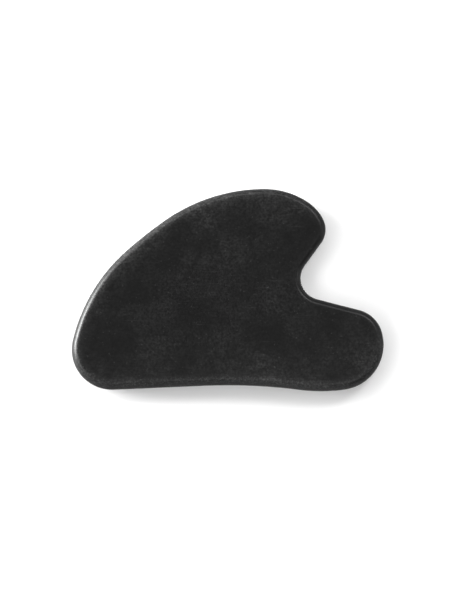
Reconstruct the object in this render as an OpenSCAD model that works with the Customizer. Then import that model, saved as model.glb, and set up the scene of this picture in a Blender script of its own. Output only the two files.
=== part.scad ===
// Gua sha scraper: one flat plate of honed black stone with a rounded rim all the way round.
// Seen from above the outline runs anticlockwise through a nearly straight sole, a hollow belly,
// a toe, a round lobe, a shoulder, a ledge, a deep notch, a flank, a nose, a cheek, a brow,
// a crown, a flatter back and a side, and closes in a broad heel.
// The frame's origin is the middle of the underside: +X to the lobe, +Y to the crown, +Z up.
// A "heading" is the direction that the rim faces at a place, anticlockwise from +X in degrees.

/* [Plate] */
// Length of the plate, from the heel to the lobe
plate_l = 85; // [70:0.5:110]
// Width of the plate, from the sole to the crown
plate_w = 55.5; // [50:0.5:72]
// Thickness of the stone
plate_t = 6; // [3:0.5:10]
// How far the rounded rim reaches in over each face
rim_in = 1.8; // [0.8:0.1:3]

/* [Heel] */
// Radius of the heel
heel_r = 11; // [8:0.5:14]
// Height of the heel above the plate's lowest line
heel_lift = 0.4; // [0:0.1:2]
// Heading at which the side passes into the heel
heel_heading = 167; // [160:1:172]

/* [Crown and back] */
// Distance of the plate's highest point from the lobe end
crest_in = 32.4; // [28:0.1:36]
// Heading at which the crown passes into the flatter back
crown_heading = 125; // [118:1:130]
// Heading at which the back passes into the side
back_heading = 132; // [131:1:140]
// Radius of the flatter back
back_r = 114; // [60:2:160]

/* [Nose] */
// Radius of the brow, on the nose's side of the crest
brow_r = 21; // [16:0.5:24]
// Heading at which the brow passes into the cheek
brow_heading = 55; // [45:1:65]
// Radius of the cheek
cheek_r = 12.5; // [9:0.5:15]
// Heading at which the cheek passes into the nose
cheek_heading = 28; // [15:1:35]
// Radius of the nose
nose_r = 6.4; // [4:0.2:8]

/* [Notch] */
// Radius of the hollow between the nose and the lobe
notch_r = 5.9; // [4:0.1:8]
// Heading of the straight flank under the nose
flank_heading = -36; // [-45:1:-28]
// Heading of the straight ledge above the lobe
ledge_heading = 75.5; // [68:0.5:84]

/* [Lobe] */
// Radius of the lobe's end
lobe_r = 12.5; // [10:0.5:15]
// Radius of the tighter shoulder above the lobe's end
shoulder_r = 8.6; // [6:0.1:12]
// Heading at which the lobe passes into the shoulder
shoulder_heading = 16; // [5:1:30]
// Radius of the toe, under the lobe
toe_r = 47; // [30:1:60]
// Heading at which the toe passes into the lobe
toe_heading = -82.5; // [-86:0.5:-70]

/* [Belly] */
// Radius of the shallow hollow along the lower edge
belly_r = 155; // [100:5:400]
// Heading of the nearly straight sole beside the heel
sole_heading = -87.5; // [-89:0.5:-86]

/* [Hidden] */
stone_colour = [0.16, 0.16, 0.165];

// Widest turn and longest step between neighbouring points of the outline
step_turn = 7.5;
step_l = 4;
// Steps in which the rim turns from one face to the other
rim_steps = 10;
// Points nearer to each other than this are one point
same_point = 0.001;

// Lowest and highest lines of the outline, and its two ends
low_y = -plate_w / 2;
high_y = plate_w / 2;
heel_end_x = -plate_l / 2;
lobe_end_x = plate_l / 2;
crest_x = lobe_end_x - crest_in;
crest_heading = 90;

// Unit vector along a heading, and the heading of a vector
function along(heading) = [cos(heading), sin(heading)];
function heading_of(v) = atan2(v.y, v.x);

// A round stretch of the outline is a bow: [centre, radius, first heading, last heading].
// A hollow bow has a negative radius, and its headings fall instead of rising.
// Where two bows meet they share the heading, so the centre of one follows from the other.
function next_centre(centre, r, next_r, heading) = centre + (r - next_r) * along(heading);
// Heading at which two touching bows meet
function meeting(c1, r1, c2, r2) = heading_of((c1 - c2) / (r2 - r1));
// Step from one end to the other of a bow whose radius is 1
function unit_step(start, end) = along(end) - along(start);
// Radii of two bows that together span a gap, each bow given by its unit step
function spanning_radii(gap, step1, step2) =
    [cross(gap, step2), cross(step1, gap)] / cross(step1, step2);
// Centre of a bow of radius r that both straight lines touch, each line given by its
// heading and by its distance from the origin
function corner_centre(h1, d1, h2, d2, r) =
    let (k1 = d1 - r, k2 = d2 - r, turn = sin(h2 - h1))
    [k1 * sin(h2) - k2 * sin(h1), k2 * cos(h1) - k1 * cos(h2)] / turn;

// Heel
heel_c = [heel_end_x + heel_r, low_y + heel_lift + heel_r];

// Crown, back and side: the crown and the side take the radii that close the way to the heel
side_end = heel_c + heel_r * along(heel_heading);
back_gap = side_end - [crest_x, high_y] - back_r * unit_step(crown_heading, back_heading);
closing_r = spanning_radii(
    back_gap, unit_step(crest_heading, crown_heading), unit_step(back_heading, heel_heading));
crown_r = closing_r[0];
side_r = closing_r[1];
crown_c = [crest_x, high_y - crown_r];
back_c = next_centre(crown_c, crown_r, back_r, crown_heading);
side_c = next_centre(back_c, back_r, side_r, back_heading);

// Brow, cheek and nose, which follow each other from the crest
brow_c = [crest_x, high_y - brow_r];
cheek_c = next_centre(brow_c, brow_r, cheek_r, brow_heading);
nose_c = next_centre(cheek_c, cheek_r, nose_r, cheek_heading);

// Toe, lobe and shoulder
lobe_c = [lobe_end_x - lobe_r, low_y + toe_r + (toe_r - lobe_r) * sin(toe_heading)];
toe_c = next_centre(lobe_c, lobe_r, toe_r, toe_heading);
shoulder_c = next_centre(lobe_c, lobe_r, shoulder_r, shoulder_heading);

// Notch, a hollow bow in the corner between the flank and the ledge
flank_d = along(flank_heading) * nose_c + nose_r;
ledge_d = along(ledge_heading) * shoulder_c + shoulder_r;
notch_c = corner_centre(ledge_heading, ledge_d, flank_heading, flank_d, -notch_r);

// Belly, a hollow bow that touches the sole's line and the toe
sole_d = along(sole_heading) * heel_c + heel_r;
toe_gap = belly_r + sole_d - along(sole_heading) * toe_c;
belly_reach = sqrt(pow(belly_r + toe_r, 2) - pow(toe_gap, 2));
belly_c = toe_c + toe_gap * along(sole_heading) - belly_reach * along(sole_heading + 90);
belly_heading = meeting(belly_c, -belly_r, toe_c, toe_r);

BOWS = [
    [belly_c, -belly_r, sole_heading, belly_heading],
    [toe_c, toe_r, belly_heading, toe_heading],
    [lobe_c, lobe_r, toe_heading, shoulder_heading],
    [shoulder_c, shoulder_r, shoulder_heading, ledge_heading],
    [notch_c, -notch_r, ledge_heading, flank_heading],
    [nose_c, nose_r, flank_heading, cheek_heading],
    [cheek_c, cheek_r, cheek_heading, brow_heading],
    [brow_c, brow_r, brow_heading, crest_heading],
    [crown_c, crown_r, crest_heading, crown_heading],
    [back_c, back_r, crown_heading, back_heading],
    [side_c, side_r, back_heading, heel_heading],
    [heel_c, heel_r, heel_heading, 360 + sole_heading],
];

// Rim points of one bow, each as [x, y, heading]
function bow_points(bow) =
    let (
        centre = bow[0],
        r = bow[1],
        turn = bow[3] - bow[2],
        arc_l = abs(r * turn) * PI / 180,
        steps = ceil(max(abs(turn) / step_turn, arc_l / step_l))
    )
    [for (i = [0 : steps])
        let (heading = bow[2] + turn * i / steps, p = centre + r * along(heading))
        [p.x, p.y, heading]];

// The whole outline, where a point that two bows share is kept once
ALL_POINTS = [for (bow = BOWS) each bow_points(bow)];
OUTLINE = [for (i = [0 : len(ALL_POINTS) - 1])
    let (p = ALL_POINTS[i], q = ALL_POINTS[(i + 1) % len(ALL_POINTS)])
    if (norm([p.x - q.x, p.y - q.y]) > same_point) p];

// One ring of the rim: the outline drawn in by the rim's half ellipse, at the height it has there
function rim_ring(turn) =
    let (inset = rim_in * (1 - sin(turn)), z = plate_t / 2 * (1 - cos(turn)))
    [for (p = OUTLINE) [p.x - inset * cos(p[2]), p.y - inset * sin(p[2]), z]];

// Faces between two neighbouring rings of n points, each split in two triangles
function band_faces(ring, n) =
    [for (i = [0 : n - 1])
        let (j = (i + 1) % n, low = ring * n, high = low + n)
        each [[low + i, high + i, high + j], [low + i, high + j, low + j]]];

// The stone itself: two flat faces and the rounded rim between them
module stone_plate() {
    n = len(OUTLINE);
    points = [for (k = [0 : rim_steps]) each rim_ring(180 * k / rim_steps)];
    underside = [for (i = [0 : n - 1]) i];
    top = [for (i = [n - 1 : -1 : 0]) rim_steps * n + i];
    rim = [for (k = [0 : rim_steps - 1]) each band_faces(k, n)];
    color(stone_colour) polyhedron(points, concat([underside], [top], rim));
}

stone_plate();
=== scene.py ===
# %% [markdown]
# # A gua sha stone, cell by cell
# A gua sha stone is a flat plate of hard stone that is drawn over oiled skin. It has a
# long crowned back, a hollow working edge, and a notch between a lobe and a nose that
# fits over a jaw or a finger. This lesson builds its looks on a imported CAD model: the
# CAD says where the plate is and how big it is, and Blender gives it a finely ground
# form, a honed stone finish and a small photo studio. All lengths are in metres, and
# mm turns the maker's millimetres into them.

from math import atan2, ceil, cos, degrees, pi, radians, sin, sqrt

import bmesh
import bpy
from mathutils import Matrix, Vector
from mathutils.geometry import delaunay_2d_cdt


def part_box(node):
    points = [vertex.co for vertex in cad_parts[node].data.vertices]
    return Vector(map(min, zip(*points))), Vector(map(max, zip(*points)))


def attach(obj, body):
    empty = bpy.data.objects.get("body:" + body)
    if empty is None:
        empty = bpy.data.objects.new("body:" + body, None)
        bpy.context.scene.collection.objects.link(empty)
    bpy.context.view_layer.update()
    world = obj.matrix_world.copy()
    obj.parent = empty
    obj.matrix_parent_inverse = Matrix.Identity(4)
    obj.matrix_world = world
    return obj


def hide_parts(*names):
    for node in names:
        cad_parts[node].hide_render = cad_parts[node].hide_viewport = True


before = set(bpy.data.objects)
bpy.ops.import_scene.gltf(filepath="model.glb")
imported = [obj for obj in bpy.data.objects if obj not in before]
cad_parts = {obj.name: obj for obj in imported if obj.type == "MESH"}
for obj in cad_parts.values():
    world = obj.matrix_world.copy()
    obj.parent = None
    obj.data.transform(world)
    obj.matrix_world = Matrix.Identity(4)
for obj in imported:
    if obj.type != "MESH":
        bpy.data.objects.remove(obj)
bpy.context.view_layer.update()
lowest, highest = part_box("stone_plate")
mm = 0.001
plate_length, plate_width, plate_thickness = highest - lowest
plate_middle = (lowest + highest) / 2
print("plate in mm:", [round(side / mm, 3) for side in highest - lowest])

# %% [markdown]
# ## The outline, as a chain of bows
# The maker of such a stone draws its outline with a compass: each stretch is an arc, a
# bow, that leaves the last one without a corner. It could be traced point by point, but
# a chain of arcs keeps every stretch fair and needs only a few sizes. A bow is a
# centre, a radius, and the first and last heading of the normal that points out of the
# stone. A hollow has a minus radius, and its headings fall as the chain runs on
# anticlockwise. These are the sizes that the CAD part was cut with.

# %% Sizes of the outline
heel_radius, heel_lift, heel_heading = 11 * mm, 0.4 * mm, 167
crest_in, crest_heading = 32.4 * mm, 90
crown_heading, back_heading, back_radius = 125, 132, 114 * mm
brow_radius, brow_heading = 21 * mm, 55
cheek_radius, cheek_heading, nose_radius = 12.5 * mm, 28, 6.4 * mm
notch_radius, flank_heading, ledge_heading = 5.9 * mm, -36, 75.5
lobe_radius, shoulder_radius, shoulder_heading = 12.5 * mm, 8.6 * mm, 16
toe_radius, toe_heading = 47 * mm, -82.5
belly_radius, sole_heading = 155 * mm, -87.5
rim_reach = 1.8 * mm
print("the face begins", round(rim_reach / mm, 2), "mm inside the outline")

# %% Compass helpers


def along(heading):
    """The unit vector at a heading, in degrees."""
    return Vector((cos(radians(heading)), sin(radians(heading))))


def next_centre(centre, radius, next_radius, heading):
    """Where the next bow's centre is, when it leaves this bow at a heading."""
    return centre + (radius - next_radius) * along(heading)


def chord_between(heading, next_heading):
    """What a bow of radius one covers from one heading to the next."""
    return along(next_heading) - along(heading)


def radii_that_span(gap, first, second):
    """The two radii that make two chords add up to a gap."""
    whole = first.cross(second)
    return gap.cross(second) / whole, first.cross(gap) / whole


def corner_centre(heading, reach, next_heading, next_reach, radius):
    """The centre of a bow that touches two straight edges."""
    near, far = reach - radius, next_reach - radius
    turn = sin(radians(next_heading - heading))
    start, end = radians(heading), radians(next_heading)
    across = near * sin(end) - far * sin(start)
    up = far * cos(start) - near * cos(end)
    return Vector((across, up)) / turn


print("a heading of 90 degrees points to", [round(v, 2) for v in along(90)])

# %% Centres round the heel, the back and the nose
heel_end, low_y, _ = lowest
lobe_end, high_y, _ = highest
crest = Vector((lobe_end - crest_in, high_y))

heel = Vector((heel_end + heel_radius, low_y + heel_lift + heel_radius))
heel_top = heel + heel_radius * along(heel_heading)
back_gap = heel_top - crest - back_radius * chord_between(crown_heading, back_heading)
crown_radius, side_radius = radii_that_span(
    back_gap, chord_between(crest_heading, crown_heading), chord_between(back_heading, heel_heading)
)
crown = crest - crown_radius * along(crest_heading)
back = next_centre(crown, crown_radius, back_radius, crown_heading)
side = next_centre(back, back_radius, side_radius, back_heading)
brow = crest - brow_radius * along(crest_heading)
cheek = next_centre(brow, brow_radius, cheek_radius, brow_heading)
nose = next_centre(cheek, cheek_radius, nose_radius, cheek_heading)
print("crown and side radii in mm:", round(crown_radius / mm, 2), round(side_radius / mm, 2))

# %% Centres round the lobe, the notch and the belly
toe_rise = toe_radius + (toe_radius - lobe_radius) * sin(radians(toe_heading))
lobe = Vector((lobe_end - lobe_radius, low_y + toe_rise))
toe = next_centre(lobe, lobe_radius, toe_radius, toe_heading)
shoulder = next_centre(lobe, lobe_radius, shoulder_radius, shoulder_heading)
flank_reach = along(flank_heading).dot(nose) + nose_radius
ledge_reach = along(ledge_heading).dot(shoulder) + shoulder_radius
notch = corner_centre(ledge_heading, ledge_reach, flank_heading, flank_reach, -notch_radius)

sole_reach = along(sole_heading).dot(heel) + heel_radius
toe_gap = belly_radius + sole_reach - along(sole_heading).dot(toe)
belly_shift = sqrt((belly_radius + toe_radius) ** 2 - toe_gap**2)
belly = toe + toe_gap * along(sole_heading) - belly_shift * along(sole_heading + 90)
toe_to_belly = belly - toe
belly_heading = degrees(atan2(toe_to_belly.y, toe_to_belly.x))
print("notch centre in mm:", [round(v / mm, 2) for v in notch])
print("belly heading:", round(belly_heading, 2))

# %% The chain, and the points along it
bows = [
    (belly, -belly_radius, sole_heading, belly_heading),
    (toe, toe_radius, belly_heading, toe_heading),
    (lobe, lobe_radius, toe_heading, shoulder_heading),
    (shoulder, shoulder_radius, shoulder_heading, ledge_heading),
    (notch, -notch_radius, ledge_heading, flank_heading),
    (nose, nose_radius, flank_heading, cheek_heading),
    (cheek, cheek_radius, cheek_heading, brow_heading),
    (brow, brow_radius, brow_heading, crest_heading),
    (crown, crown_radius, crest_heading, crown_heading),
    (back, back_radius, crown_heading, back_heading),
    (side, side_radius, back_heading, heel_heading),
    (heel, heel_radius, heel_heading, 360 + sole_heading),
]
turn_step, length_step = 3.0, 1.0 * mm
count_slack = 1e-6
shortest_straight = 0.01 * mm


def steps_for(turn, length):
    """How many steps keep a stretch fair, by its turn and by its length."""
    by_turn = ceil(abs(turn) / turn_step - count_slack)
    by_length = ceil(length / length_step - count_slack)
    return max(1, by_turn, by_length)


def outline_inside(inset):
    """The outline drawn in by an inset, as points in order, anticlockwise."""
    points = []
    for here, (centre, radius, first, last) in enumerate(bows):
        count = steps_for(last - first, abs(radius * radians(last - first)))
        drawn = radius - inset
        headings = [first + (last - first) * n / count for n in range(count + 1)]
        arc = [centre + drawn * along(heading) for heading in headings]
        next_middle, next_radius, next_first, _ = bows[(here + 1) % len(bows)]
        landing = next_middle + (next_radius - inset) * along(next_first)
        straight = landing - arc[-1]
        pieces = steps_for(0, straight.length)
        if straight.length > shortest_straight:
            arc += [arc[-1] + straight * n / pieces for n in range(1, pieces)]
        else:
            arc.pop()
        points += arc
    return points


print("points round the outline:", len(outline_inside(0)))

# %% [markdown]
# ## The face, as one even sheet
# The two faces of the plate are ground flat, so one polygon each would do. Long thin
# triangles shade badly, though, and leave nothing to shape where the face falls off
# towards the rim. So the sheet has rings of points that follow the outline, then an
# even field of points, and a Delaunay triangulation joins them.

# %% Points of the face sheet
ring_steps = [0.5 * mm, 1.1 * mm, 1.8 * mm, 2.6 * mm, 3.5 * mm]
field_step = 1.8 * mm


def is_inside(point, loop):
    """True for a point inside a closed loop, by counting the edges to its right."""
    hits = 0
    for a, b in zip(loop, loop[1:] + loop[:1]):
        if (a.y > point.y) != (b.y > point.y):
            hits += point.x < a.x + (point.y - a.y) / (b.y - a.y) * (b.x - a.x)
    return hits % 2 == 1


face_edge = outline_inside(rim_reach)
rings = [outline_inside(rim_reach + step) for step in ring_steps]
field_edge = outline_inside(rim_reach + ring_steps[-1] + 0.5 * field_step)
row_step = field_step * sqrt(3) / 2
field = []
for row in range(ceil(plate_width / row_step)):
    for column in range(ceil(plate_length / field_step)):
        shifted = column + row % 2 / 2
        spot = Vector((heel_end + shifted * field_step, low_y + row * row_step))
        if is_inside(spot, field_edge):
            field.append(spot)
print("rings:", len(rings), " points in the field:", len(field))

# %% Triangulate the face sheet
sheet_points = face_edge + [point for ring in rings for point in ring] + field
rim_loop = list(range(len(face_edge)))
rim_edges = [(n, (n + 1) % len(rim_loop)) for n in rim_loop]
keep_inside, same_point = 1, 1e-9
flat = delaunay_2d_cdt(sheet_points, rim_edges, [rim_loop], keep_inside, same_point)
sheet_verts = [(point.x, point.y, 0) for point in flat[0]]
sheet_faces = flat[2]

sheet = bpy.data.meshes.new("stone_sheet")
sheet.from_pydata(sheet_verts, [], sheet_faces)
sheet.update()
print("sheet:", len(sheet_verts), "points,", len(sheet_faces), "triangles")

# %% [markdown]
# ## A few words for building node trees
# Every tree in this lesson is built in the script, so the same few words keep coming
# back: add a node, set or wire its sockets, reckon with numbers, and spread one range
# over another.

# %% Node helpers


def feed(tree, socket, value):
    """Wires an output into a socket, or sets the socket to a plain value."""
    if isinstance(value, bpy.types.NodeSocket):
        tree.links.new(value, socket)
    else:
        socket.default_value = value


def add_node(tree, kind, inputs=None, **settings):
    """A node with its settings made and its inputs, by name or by place, fed."""
    node = tree.nodes.new(kind)
    for name, value in settings.items():
        setattr(node, name, value)
    for key, value in (inputs or {}).items():
        feed(tree, node.inputs[key], value)
    return node


def reckon(tree, operation, *values, clamp=False):
    """One step of arithmetic, and its result."""
    inputs = dict(enumerate(values))
    return add_node(tree, "ShaderNodeMath", inputs, operation=operation, use_clamp=clamp).outputs[0]


def spread(tree, value, low, high, new_low=0.0, new_high=1.0):
    """Maps a range onto another, smoothly, and holds it at both ends."""
    inputs = {0: value, 1: low, 2: high, 3: new_low, 4: new_high}
    return add_node(tree, "ShaderNodeMapRange", inputs, interpolation_type="SMOOTHSTEP").outputs[0]


print("node helpers are ready")

# %% [markdown]
# ## The stone, as a rule in Geometry Nodes
# On the real plate the edge is ground to a half round that is taller than it is deep,
# the faces fall very slightly towards it, and the grinding leaves long shallow waves.
# This could be modelled by hand on one mesh, but then nobody could see the rule, or
# change the rim's depth. A tree with named inputs writes the rule down once. The notch
# is sheltered in use, so its inputs also say where the wear fades out, and where the
# finish paints shade into the hollow of the notch.

# %% Inputs of the tree
stone_tree = bpy.data.node_groups.new("ground_stone", "GeometryNodeTree")
stone_tree.is_modifier = True


def add_input(name, kind, default):
    """A named input of the stone's tree."""
    socket = stone_tree.interface.new_socket(name, in_out="INPUT", socket_type=kind)
    if default is not None:
        socket.default_value = default
    return socket


sheltered_spot = ((nose.x + lobe_end) / 2, notch.y, plate_thickness / 2)
add_input("Face sheet", "NodeSocketGeometry", None)
stone_sizes = {
    "Thickness": add_input("Thickness", "NodeSocketFloat", plate_thickness),
    "Rim reach": add_input("Rim reach", "NodeSocketFloat", rim_reach),
    "Rim steps": add_input("Rim steps", "NodeSocketInt", 41),
    "Face fall": add_input("Face fall", "NodeSocketFloat", 0.3 * mm),
    "Fall width": add_input("Fall width", "NodeSocketFloat", 2.4 * mm),
    "Sheltered spot": add_input("Sheltered spot", "NodeSocketVector", sheltered_spot),
    "Sheltered reach": add_input("Sheltered reach", "NodeSocketFloat", 14 * mm),
    "Wave depth": add_input("Wave depth", "NodeSocketFloat", 0.03 * mm),
    "Wave length": add_input("Wave length", "NodeSocketFloat", 9.0 * mm),
    "Seed": add_input("Seed", "NodeSocketInt", 7),
    "Stone": add_input("Stone", "NodeSocketMaterial", None),
}
stone_tree.interface.new_socket("Stone", in_out="OUTPUT", socket_type="NodeSocketGeometry")
inlet = stone_tree.nodes.new("NodeGroupInput").outputs
half = reckon(stone_tree, "MULTIPLY", inlet["Thickness"], 0.5)
print("inputs of the stone:", ", ".join(stone_sizes))

# %% [markdown]
# ### The rim
# The half round turns tightly where it meets the face, and it is nearly upright at the
# middle. A bevel on a block would give a round corner, which catches light quite
# differently. Here a half ellipse is swept along the edge of the face sheet. Its points
# run from the underside up to the top, so that the swept faces point outwards, and
# each of them remembers how far from the edge it lies.

# %% The path of the rim, round the sheet's open edge
edge_count = add_node(stone_tree, "GeometryNodeInputMeshEdgeNeighbors").outputs[0]
open_edge = add_node(
    stone_tree, "FunctionNodeCompare", {2: edge_count, 3: 1}, data_type="INT", operation="EQUAL"
).outputs[0]
path = add_node(
    stone_tree,
    "GeometryNodeMeshToCurve",
    {"Mesh": inlet["Face sheet"], "Selection": open_edge},
)
level = add_node(
    stone_tree, "GeometryNodeSetCurveNormal", {"Curve": path.outputs[0]}, mode="Z_UP"
)
raised = add_node(stone_tree, "ShaderNodeCombineXYZ", {"Z": half}).outputs[0]
rim_path = add_node(
    stone_tree, "GeometryNodeSetPosition", {"Geometry": level.outputs[0], "Offset": raised}
)
print("the rim follows the sheet's open edge at half the thickness")

# %% The half ellipse, and the sweep
travelled = add_node(stone_tree, "GeometryNodeSplineParameter").outputs[0]
still_to_go = reckon(stone_tree, "SUBTRACT", 1.0, travelled)
turned = reckon(stone_tree, "MULTIPLY", still_to_go, pi)
bulge = reckon(stone_tree, "MULTIPLY", inlet["Rim reach"], reckon(stone_tree, "SINE", turned))
rise = reckon(stone_tree, "MULTIPLY", half, reckon(stone_tree, "COSINE", turned))
rim_line = add_node(stone_tree, "GeometryNodeCurvePrimitiveLine")
rim_dots = add_node(
    stone_tree,
    "GeometryNodeResampleCurve",
    {"Curve": rim_line.outputs[0], "Count": inlet["Rim steps"]},
)
rim_place = add_node(stone_tree, "ShaderNodeCombineXYZ", {"X": bulge, "Y": rise}).outputs[0]
rim_inset = reckon(stone_tree, "SUBTRACT", inlet["Rim reach"], bulge)


def remember(shape, name, value):
    """Stores a number on a shape's points under a name."""
    return add_node(
        stone_tree,
        "GeometryNodeStoreNamedAttribute",
        {"Geometry": shape, "Name": name, "Value": value},
        data_type="FLOAT",
        domain="POINT",
    )


rim_known = remember(rim_dots.outputs[0], "from_edge", rim_inset)
rim_section = add_node(
    stone_tree,
    "GeometryNodeSetPosition",
    {"Geometry": rim_known.outputs[0], "Position": rim_place},
)
rim = add_node(
    stone_tree,
    "GeometryNodeCurveToMesh",
    {"Curve": rim_path.outputs[0], "Profile Curve": rim_section.outputs[0]},
)
print("points across the rim:", stone_sizes["Rim steps"].default_value)

# %% [markdown]
# ### The two faces
# Both faces of the plate are the same shape. Two sheets could be made, but one will do:
# the tree lifts it for the top, and turns it over for the underside so that both look
# outwards. Welding the points where the sheets meet the rim closes the stone.

# %% The sheet at the top, and turned over at the underside
weld_reach = 0.002 * mm
here = add_node(stone_tree, "GeometryNodeInputPosition").outputs[0]
flat_path = add_node(stone_tree, "GeometryNodeCurveToMesh", {"Curve": path.outputs[0]})
nearness = add_node(
    stone_tree, "GeometryNodeProximity", {0: flat_path.outputs[0], 3: here}, target_element="EDGES"
)
face_inset = reckon(stone_tree, "ADD", inlet["Rim reach"], nearness.outputs["Distance"])
sheet_known = remember(inlet["Face sheet"], "from_edge", face_inset)
top_offset = add_node(stone_tree, "ShaderNodeCombineXYZ", {"Z": inlet["Thickness"]}).outputs[0]
top_face = add_node(
    stone_tree,
    "GeometryNodeSetPosition",
    {"Geometry": sheet_known.outputs[0], "Offset": top_offset},
)
underside = add_node(stone_tree, "GeometryNodeFlipFaces", {"Mesh": sheet_known.outputs[0]})
whole = add_node(stone_tree, "GeometryNodeJoinGeometry")
for part in (rim, top_face, underside):
    stone_tree.links.new(part.outputs[0], whole.inputs[0])
closed = add_node(
    stone_tree,
    "GeometryNodeMergeByDistance",
    {"Geometry": whole.outputs[0], "Distance": weld_reach},
)
print("points closer than", weld_reach / mm, "mm are welded")

# %% [markdown]
# ### The fall of the face
# Hand grinding takes a little more off near the rim, so the face falls there by a
# fraction of a millimetre. The lift of each point above mid height is scaled down by
# its nearness to the edge, which treats both faces alike. In the notch, where nothing
# rubs, only a fifth of the fall is left. The tree stores how worn and how open each
# point is: the finish reads it for the scuffs and for the painted shade in the notch.

# %% Wear, and the fall towards the rim
worn_beyond, sheltered_share, fall_curve = 1.8, 0.2, 2.0
inset = add_node(
    stone_tree, "GeometryNodeInputNamedAttribute", {"Name": "from_edge"}, data_type="FLOAT"
).outputs[0]
fall_reach = reckon(stone_tree, "ADD", inlet["Rim reach"], inlet["Fall width"])
way_in = reckon(stone_tree, "DIVIDE", inset, fall_reach)
nearer = reckon(stone_tree, "SUBTRACT", 1.0, way_in, clamp=True)
from_shelter = add_node(
    stone_tree, "ShaderNodeVectorMath", {0: here, 1: inlet["Sheltered spot"]}, operation="DISTANCE"
).outputs["Value"]
open_reach = reckon(stone_tree, "MULTIPLY", inlet["Sheltered reach"], worn_beyond)
worn_and_lit = spread(stone_tree, from_shelter, inlet["Sheltered reach"], open_reach)
worn_share = reckon(stone_tree, "MULTIPLY_ADD", worn_and_lit, 1 - sheltered_share, sheltered_share)
worn_fall = reckon(stone_tree, "MULTIPLY", inlet["Face fall"], worn_share)
fall_share = reckon(stone_tree, "DIVIDE", worn_fall, half)
lost_share = reckon(
    stone_tree, "MULTIPLY", fall_share, reckon(stone_tree, "POWER", nearer, fall_curve)
)
kept_share = reckon(stone_tree, "SUBTRACT", 1.0, lost_share)
axes = add_node(stone_tree, "ShaderNodeSeparateXYZ", {0: here}).outputs
lift = reckon(stone_tree, "SUBTRACT", axes["Z"], half)
fallen = reckon(stone_tree, "MULTIPLY_ADD", lift, kept_share, half)
fallen_place = add_node(
    stone_tree, "ShaderNodeCombineXYZ", {"X": axes["X"], "Y": axes["Y"], "Z": fallen}
).outputs[0]
# This value also says where the finish paints shade into the hollow of the notch.
worn_known = remember(closed.outputs[0], "worn_and_lit", worn_and_lit)
eased = add_node(
    stone_tree,
    "GeometryNodeSetPosition",
    {"Geometry": worn_known.outputs[0], "Position": fallen_place},
)
print("deepest fall of the face in mm:", round(stone_sizes["Face fall"].default_value / mm, 2))

# %% [markdown]
# ### The waves that grinding leaves
# A ground surface is never quite true: it has long, very shallow waves, which show only
# in how a highlight wanders. They could be a bump in the finish, but real depth also
# shows in the outline. So each point is pushed inwards along its normal by a slow
# noise, and never outwards, which keeps the stone inside the plate's true size.

# %% Waves, smooth shading and the finish
wave_scale = reckon(stone_tree, "DIVIDE", 1.0, inlet["Wave length"])
wave = add_node(
    stone_tree,
    "ShaderNodeTexNoise",
    {"Vector": here, "W": inlet["Seed"], "Scale": wave_scale, "Detail": 1.0},
    noise_dimensions="4D",
).outputs[0]
wave_depth = reckon(stone_tree, "MULTIPLY", wave, inlet["Wave depth"])
wave_in = reckon(stone_tree, "MULTIPLY", wave_depth, -1.0)
outward = add_node(stone_tree, "GeometryNodeInputNormal").outputs[0]
ground_off = add_node(
    stone_tree, "ShaderNodeVectorMath", {0: outward, "Scale": wave_in}, operation="SCALE"
).outputs[0]
waved = add_node(
    stone_tree, "GeometryNodeSetPosition", {"Geometry": eased.outputs[0], "Offset": ground_off}
)
smoothed = add_node(stone_tree, "GeometryNodeSetShadeSmooth", {0: waved.outputs[0]})
single = add_node(stone_tree, "GeometryNodeRealizeInstances", {0: smoothed.outputs[0]})
dressed = add_node(
    stone_tree,
    "GeometryNodeSetMaterial",
    {"Geometry": single.outputs[0], "Material": inlet["Stone"]},
)
outlet = stone_tree.nodes.new("NodeGroupOutput")
stone_tree.links.new(dressed.outputs[0], outlet.inputs[0])
print("steps in the stone's tree:", len(stone_tree.nodes))

# %% [markdown]
# ## Honed stone
# The plate is a dense, nearly black stone that was honed, not polished. Its face has
# faint clouds, fine grain, the marks of the honing strokes, a few pale specks and hair
# scratches. The rim is ground by hand and worn in use, so it is scuffed paler, except
# in the notch, which nothing rubs. The finish also paints light and shade: a painted
# sheen that makes the face lighter towards its border, a painted fill light over the
# whole rim, and painted shade in the hollow of the notch. One picture could hold all
# this, but it would be stretched on the rim. So patterns on the piece's own coordinates
# make it, and the distance from the edge, which the tree stored, says where the
# scuffing and the painted light go.

# %% The finish, and the words for its patterns
stone_finish = bpy.data.materials.new("honed_stone")
stone_finish.use_nodes = True
finish = stone_finish.node_tree
finish.nodes.clear()
own_place = add_node(finish, "ShaderNodeTexCoord").outputs["Object"]
shader = add_node(finish, "ShaderNodeBsdfPrincipled", {"IOR": 1.5, "Specular IOR Level": 0.27})
add_node(finish, "ShaderNodeOutputMaterial", {"Surface": shader.outputs[0]})


def blots(size, seed, detail=2.0, roughness=0.5, place=own_place):
    """Blots about one size across, in metres, from 0 to 1."""
    inputs = {"Vector": place, "W": seed, "Scale": 1 / size}
    inputs.update({"Detail": detail, "Roughness": roughness})
    return add_node(finish, "ShaderNodeTexNoise", inputs, noise_dimensions="4D").outputs[0]


def strokes(length, width, heading, seed):
    """Long thin blots that run along a heading, for honing marks and scratches."""
    turn_and_stretch = {
        "Vector": own_place,
        "Rotation": (0, 0, -radians(heading)),
        "Scale": (width / length, 1, 1),
    }
    lane = add_node(finish, "ShaderNodeMapping", turn_and_stretch, vector_type="POINT").outputs[0]
    return blots(width, seed, detail=1.0, place=lane)


def swing(pattern, share):
    """A factor that swings to each side of one by a share, as a pattern goes."""
    usual_low, usual_high = 0.3, 0.7
    return spread(finish, pattern, usual_low, usual_high, 1 - share, 1 + share)


def times(*values):
    """Several numbers multiplied together."""
    result = values[0]
    for value in values[1:]:
        result = reckon(finish, "MULTIPLY", result, value)
    return result


def add_marks(start, *marks):
    """A number with each mark added to it, each by its own amount."""
    result = start
    for mark, amount in marks:
        result = reckon(finish, "MULTIPLY_ADD", mark, amount, result)
    return result


print("words for patterns are ready")
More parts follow.
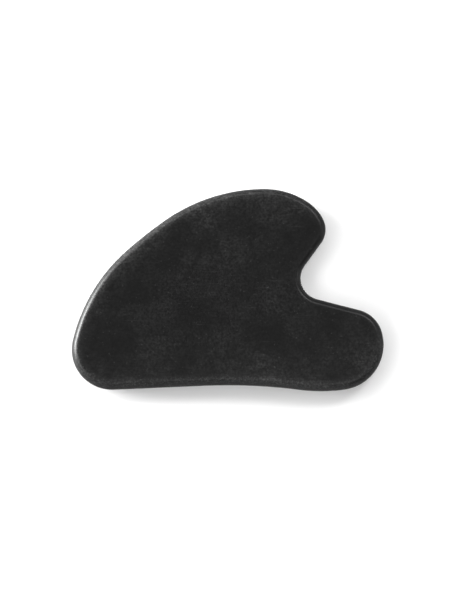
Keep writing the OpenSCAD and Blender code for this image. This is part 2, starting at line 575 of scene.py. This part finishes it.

# %% Where the stone is worn, where it is sheltered, and where shade is painted
scuffs_begin, scuffs_full = 3.4 * mm, 0.9 * mm
from_edge = add_node(finish, "ShaderNodeAttribute", attribute_name="from_edge").outputs["Fac"]
# The same value darkens the notch below: painted shade there, not wear.
exposed_and_lit = add_node(finish, "ShaderNodeAttribute", attribute_name="worn_and_lit").outputs["Fac"]
near_edge = spread(finish, from_edge, scuffs_begin, scuffs_full)
worn_edge = times(exposed_and_lit, near_edge)
print("scuffing fades out", round(scuffs_begin / mm, 1), "mm from the edge")

# %% [markdown]
# ### The colour of the face
# Seen close, the black is a dark grey that varies at every size: clouds as wide as a
# fingertip, clumps, grain, and honing strokes that cross. One noise with many octaves
# looks like smoke, because all its sizes are tied together. So each size has its own
# pattern and its own strength, and they multiply. A painted sheen makes the face a
# little lighter at its border than in its middle, and painted shade darkens the hollow
# of the notch by half.

# %% Tone of the face
base_tone, notch_shade_tone = 0.0047, 0.5
clouds = swing(blots(10 * mm, 45.0), 0.7)
clumps = swing(blots(2.2 * mm, 11.0), 0.24)
# Painted sheen: the face is lighter towards its border, where the lamps glow near the rim.
middle = spread(finish, from_edge, 4 * mm, 15 * mm, 1.15, 0.75)
grain = blots(0.6 * mm, 2.0, roughness=0.6)
mottle = swing(grain, 0.8)
along_strokes = swing(strokes(3 * mm, 0.4 * mm, 3, 3.0), 0.2)
cross_strokes = swing(strokes(3 * mm, 0.4 * mm, 92, 4.0), 0.2)
# Painted shade: the tone is halved in the hollow of the notch, which the lamps hardly reach.
notch_shade = reckon(finish, "MULTIPLY_ADD", exposed_and_lit, 1 - notch_shade_tone, notch_shade_tone)
tone = times(base_tone, clouds, clumps, mottle, along_strokes, cross_strokes, notch_shade, middle)
print("base tone of the stone:", base_tone)

# %% [markdown]
# ### Specks, scratches, scuffs and a painted rim light
# Pale marks lie on top of the dark: mineral specks no bigger than a pinprick, hair
# scratches that come in patches, and the dense scuffing of the rim. They could be drawn
# one by one, but they have no order, so thresholds on fine noise scatter them. They are
# added to the tone, not multiplied, because a scratch is as pale on dark stone as on
# light. A small even lift all round the rim is added too: that one is a painted fill light.

# %% Pale marks
specks = spread(finish, blots(0.6 * mm, 5.0, detail=1.0), 0.67, 0.77)
hairs = 0.0
for heading, seed in ((-18, 6.0), (35, 7.0), (80, 8.0)):
    line = spread(finish, strokes(9 * mm, 0.16 * mm, heading, seed), 0.72, 0.8)
    patch = spread(finish, blots(9 * mm, seed + 0.5, detail=1.0), 0.45, 0.6)
    hairs = reckon(finish, "MULTIPLY_ADD", line, patch, hairs)
rubbed = spread(finish, blots(0.5 * mm, 9.0, detail=4.0, roughness=0.75), 0.47, 0.65)
scuffs = times(worn_edge, rubbed)
# The near_edge term is a painted fill light that lifts the tone all round the rim.
tone = add_marks(tone, (specks, 0.018), (hairs, 0.015), (scuffs, 0.032), (near_edge, 0.003))
colour = add_node(finish, "ShaderNodeCombineColor", {0: tone, 1: tone, 2: tone})
feed(finish, shader.inputs["Base Color"], colour.outputs[0])
print("nodes so far:", len(finish.nodes))

# %% [markdown]
# ### Gloss and relief
# Honing leaves a satin surface: rough enough to blur a lamp into a glow, and rougher
# where it is scuffed or scratched. The relief of grain and strokes is a few hundredths
# of a millimetre deep, too fine for the mesh, so it is a bump. It follows the same
# patterns as the colour, because on the real stone they are the same marks.

# %% Roughness and bump
honed, relief_depth = 0.38, 0.02 * mm
gloss = add_marks(honed, (grain, 0.08), (scuffs, 0.12), (hairs, 0.1))
feed(finish, shader.inputs["Roughness"], gloss)
relief = add_marks(grain, (scuffs, 0.8), (hairs, -0.3), (along_strokes, 0.5), (cross_strokes, 0.5))
bump = add_node(
    finish, "ShaderNodeBump", {"Strength": 0.3, "Distance": relief_depth, "Height": relief}
)
feed(finish, shader.inputs["Normal"], bump.outputs[0])
print("nodes in the stone's finish:", len(finish.nodes))

# %% [markdown]
# ## From the rule to a plain mesh
# The tree is a recipe, and a model that is handed on needs the result. The sheet gets
# the tree as a modifier, the inputs are set by their identifiers, and the evaluated
# shape is copied to a plain mesh. Keeping the modifier would also work in Blender, but
# other programs don't know it.

# %% Run the tree once
blank = bpy.data.objects.new("stone_blank", sheet)
bpy.context.scene.collection.objects.link(blank)
grinding = blank.modifiers.new("grinding", "NODES")
grinding.node_group = stone_tree
grinding[stone_sizes["Stone"].identifier] = stone_finish
for name, size in stone_sizes.items():
    if name != "Stone":
        grinding[size.identifier] = size.default_value
bpy.context.view_layer.update()
seen = blank.evaluated_get(bpy.context.evaluated_depsgraph_get())
stone_mesh = bpy.data.meshes.new_from_object(seen)
blank.modifiers.remove(grinding)
bpy.data.objects.remove(blank)
stone_mesh.name = "gua_sha_stone"
stone = bpy.data.objects.new("gua_sha_stone", stone_mesh)
bpy.context.scene.collection.objects.link(stone)
print("stone:", len(stone_mesh.vertices), "points,", len(stone_mesh.polygons), "faces")

# %% Check that it is closed, and which way it faces
probe = bmesh.new()
probe.from_mesh(stone_mesh)
open_edges = sum(not edge.is_manifold for edge in probe.edges)
volume = probe.calc_volume(signed=True)
probe.free()
print("open edges:", open_edges, " volume in mm3:", round(volume / mm**3, 1))

# %% [markdown]
# ## The stone takes the CAD plate's place
# The real object is one piece of stone with nothing joined to it, so one visual piece
# stands for the one CAD node. It rides on the fixed body, since nothing on it moves.

# %% Hand the stone to the frame
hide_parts("stone_plate")
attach(stone, "root")
print("visual pieces: 1, in place of stone_plate")

# %% [markdown]
# ## The table
# The stone lies flat on a plain white table. A modelled room would only add things to
# look past, so the table is one matt square, a hair's breadth under the stone. It isn't
# mirrored in the stone: the glow that the air gives from below stands for it there,
# because that can be set to suit the rim.

# %% Table
table_reach, table_gap = 0.9, 0.02 * mm
corners = [(-1, -1), (1, -1), (1, 1), (-1, 1)]
table_mesh = bpy.data.meshes.new("table_top")
table_mesh.from_pydata([(x * table_reach, y * table_reach, 0) for x, y in corners], [], [(0, 1, 2, 3)])
floor = bpy.data.objects.new("table_top", table_mesh)
floor.location.z = -table_gap
bpy.context.scene.collection.objects.link(floor)
paper = bpy.data.materials.new("white_table")
paper.use_nodes = True
paper_shader = paper.node_tree.nodes["Principled BSDF"]
paper_shader.inputs["Base Color"].default_value = (0.93, 0.93, 0.93, 1)
paper_shader.inputs["Roughness"].default_value = 0.9
paper_shader.inputs["Specular IOR Level"].default_value = 0.0
table_mesh.materials.append(paper)
floor.visible_glossy = False
print("table:", 2 * table_reach, "m square")

# %% [markdown]
# ## The lamps
# A strong soft lamp lies low on the left and draws the bright rim there. Weaker ones
# graze the near, right and far sides, so that the dark rim never melts into the face.
# One big lamp overhead would be simpler, but a flat dark face would then mirror it as a
# grey sheet. The high near lamp is only there for its glow on the belly's edge, so it
# throws no shadow.

# %% Lamps
lamp_distance = 1.0


def direction(heading, height):
    """The unit vector at a heading and a height above the table, in degrees."""
    level = cos(radians(height))
    return Vector((level * cos(radians(heading)), level * sin(radians(heading)), sin(radians(height))))


def softbox(name, heading, height, width, depth, power, shades=True):
    """A flat soft light that looks at the plate, and that the camera doesn't see."""
    lamp = bpy.data.lights.new(name, "AREA")
    lamp.shape = "RECTANGLE"
    lamp.size, lamp.size_y = width, depth
    lamp.energy = power
    lamp.use_shadow = shades
    holder = bpy.data.objects.new(name, lamp)
    outwards = direction(heading, height)
    holder.location = plate_middle + lamp_distance * outwards
    holder.rotation_euler = outwards.to_track_quat("Z", "Y").to_euler()
    holder.visible_camera = False
    bpy.context.scene.collection.objects.link(holder)
    print(name, "at heading", heading, "and height", height, "with", power, "W")


softbox("left_softbox", heading=163, height=4, width=0.55, depth=0.3, power=66)
softbox("near_strip", heading=262, height=6, width=0.9, depth=0.2, power=1.9)
softbox("near_high", heading=290, height=64, width=0.4, depth=0.4, power=2.6, shades=False)
softbox("nose_light", heading=49, height=38, width=0.3, depth=0.3, power=3.3)
softbox("right_strip", heading=4, height=9, width=0.6, depth=0.2, power=1.3)

# %% [markdown]
# ## The air of the studio
# The rest of the light comes from a tent: a bright band part of the way up, stronger at
# the back left, with a dark top. The flat face mirrors the top, so it stays black, and
# the rim mirrors the band. From below comes the glow of the table, brightest on the
# side of the strong lamp. A picture of a room could light this too, but a rule in a few
# heights can be tuned by hand. The camera itself sees plain white.

# %% Tent and table glow
air = bpy.data.worlds.new("studio_air")
air.use_nodes = True
sky = air.node_tree
tent_light, weak_side, strong_side = 2.1, 0.4, 1.6
band_foot, band_full, band_top, dark_top = 0.45, 0.6, 0.72, 0.84
table_light, lit_table, horizon_blur = 0.42, 1.4, 0.02
seen_white = 1.0
sky_way = add_node(sky, "ShaderNodeTexCoord").outputs["Generated"]
sky_height = add_node(sky, "ShaderNodeSeparateXYZ", {0: sky_way}).outputs["Z"]


def facing(heading):
    """How far each way in the sky faces a heading, from -1 to 1."""
    inputs = {0: sky_way, 1: direction(heading, 0)}
    return add_node(sky, "ShaderNodeVectorMath", inputs, operation="DOT_PRODUCT").outputs["Value"]


tent_rise = spread(sky, sky_height, band_foot, band_full, 0.0, tent_light)
tent_fall = spread(sky, sky_height, dark_top, band_top)
tent_side = spread(sky, facing(135), -0.5, 0.5, weak_side, strong_side)
table_side = spread(sky, facing(166), 0.35, 0.8, table_light, lit_table)
table_glow = spread(sky, sky_height, horizon_blur, -horizon_blur, 0.0, table_side)
tent_wall = reckon(sky, "MULTIPLY", tent_rise, tent_side)
tent = reckon(sky, "MULTIPLY_ADD", tent_wall, tent_fall, table_glow)
seen_directly = add_node(sky, "ShaderNodeLightPath").outputs["Is Camera Ray"]
backdrop = reckon(sky, "MULTIPLY", seen_directly, seen_white)
background = sky.nodes["Background"]
feed(sky, background.inputs["Color"], (1, 1, 1, 1))
feed(sky, background.inputs["Strength"], reckon(sky, "MAXIMUM", tent, backdrop))
bpy.context.scene.world = air
bpy.context.scene.view_settings.view_transform = "Standard"
print("nodes in the air:", len(sky.nodes))

# %% [markdown]
# ## The camera
# The stone is seen almost from overhead, as a catalogue shows it. The camera leans a
# little towards the belly, so the near side of the rim shows more than the far side.
# A short lens close by would make the nearer edge look bigger, so a long lens stands
# well back, and its length follows from how much height has to fit in the view.

# %% Camera
view_height, camera_distance, camera_tilt = 165.0 * mm, 1.2, 6
aim_right, aim_near = 0.9 * mm, 3.44 * mm
camera = bpy.data.cameras.new("overhead_camera")
camera.sensor_fit = "VERTICAL"
camera.sensor_height = 24
camera.lens = camera.sensor_height * camera_distance / view_height
camera.clip_end = 20
viewer = bpy.data.objects.new("overhead_camera", camera)
looked_at = plate_middle + Vector((aim_right, -aim_near / cos(radians(camera_tilt)), 0))
viewer.location = looked_at + camera_distance * direction(-90, 90 - camera_tilt)
viewer.rotation_euler = (radians(camera_tilt), 0, 0)
bpy.context.scene.collection.objects.link(viewer)
bpy.context.scene.camera = viewer
print("lens in mm:", round(camera.lens, 1))
